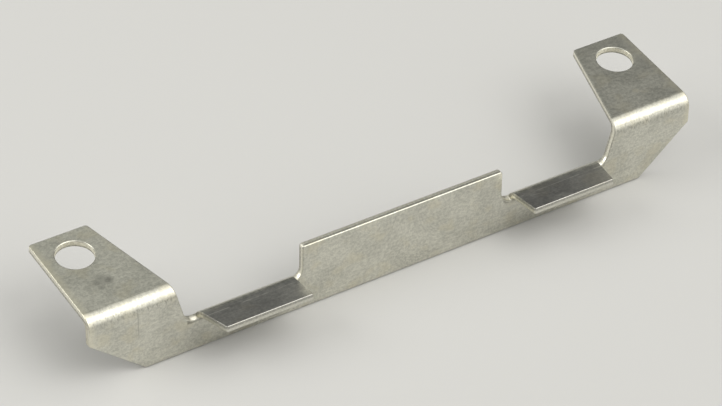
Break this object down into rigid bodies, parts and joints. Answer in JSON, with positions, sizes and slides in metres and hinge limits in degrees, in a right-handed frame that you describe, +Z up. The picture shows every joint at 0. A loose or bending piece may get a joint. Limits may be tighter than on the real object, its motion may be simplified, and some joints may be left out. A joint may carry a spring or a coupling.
{
  "type": "stamped metal bracket",
  "caption": "Long folded sheet-steel bracket: upright web with a raised middle plate, forward tabs, and tapered ears with bolt holes folded back at the ends.",
  "frame": {"origin": "midway between the two bolt holes, on the ears' underside, where the bracket seats", "axes": "+X along the bracket, +Y back from the web towards the ears' far edges, +Z up out of the bolt holes; the web hangs below, leaning six degrees forward, and the tabs point to -Y"},
  "size_m": [0.12, 0.0281, 0.0137],
  "materials": {
    "sheet_steel": "mill finish, satin, with bright sheared edges and folds"
  },
  "bodies": {
    "root": {"bracket": "sheet_steel"}
  },
  "joints": []
}
